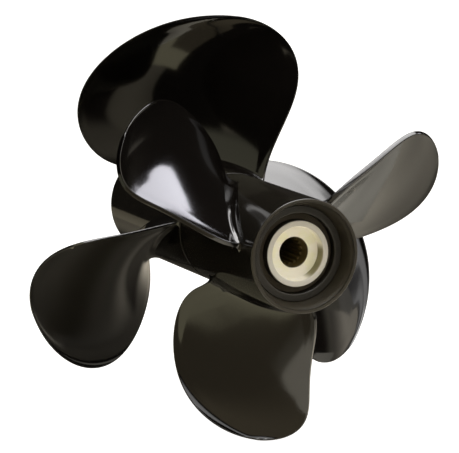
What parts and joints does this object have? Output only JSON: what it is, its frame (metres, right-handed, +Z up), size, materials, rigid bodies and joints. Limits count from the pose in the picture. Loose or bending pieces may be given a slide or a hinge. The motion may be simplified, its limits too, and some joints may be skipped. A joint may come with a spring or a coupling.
{
  "type": "ship propeller",
  "caption": "Twin counter-rotating propeller set for a boat's stern drive, gloss black cast aluminium with rubber-bushed splined sleeves.",
  "frame": {"origin": "on the shaft axis, level with the front face of the front hub", "axes": "+Y ahead along the shaft, towards the boat; +Z up as in the picture; +X to starboard"},
  "size_m": [0.3748, 0.3623, 0.3783],
  "materials": {
    "black_paint": "gloss black enamel over cast aluminium",
    "bush_rubber": "matte black rubber",
    "sleeve_acetal": "smooth cream acetal"
  },
  "bodies": {
    "front_propeller": {"front_barrel": "black_paint", "front_core": "black_paint", "front_rubber_bush": "bush_rubber", "front_spline_sleeve": "sleeve_acetal", "front_web_1": "black_paint", "front_web_2": "black_paint", "front_web_3": "black_paint", "front_blade_1": "black_paint", "front_blade_2": "black_paint", "front_blade_3": "black_paint"},
    "rear_propeller": {"rear_barrel": "black_paint", "rear_core": "black_paint", "rear_rubber_bush": "bush_rubber", "rear_spline_sleeve": "sleeve_acetal", "rear_web_1": "black_paint", "rear_web_2": "black_paint", "rear_web_3": "black_paint", "rear_blade_1": "black_paint", "rear_blade_2": "black_paint", "rear_blade_3": "black_paint"}
  },
  "joints": [
    {"name": "rear_propeller_spin", "type": "hinge", "parent": "front_propeller", "child": "rear_propeller", "pos_m": [0, -0.274, 0], "axis": [0, 1, 0], "continuous": true}
  ]
}
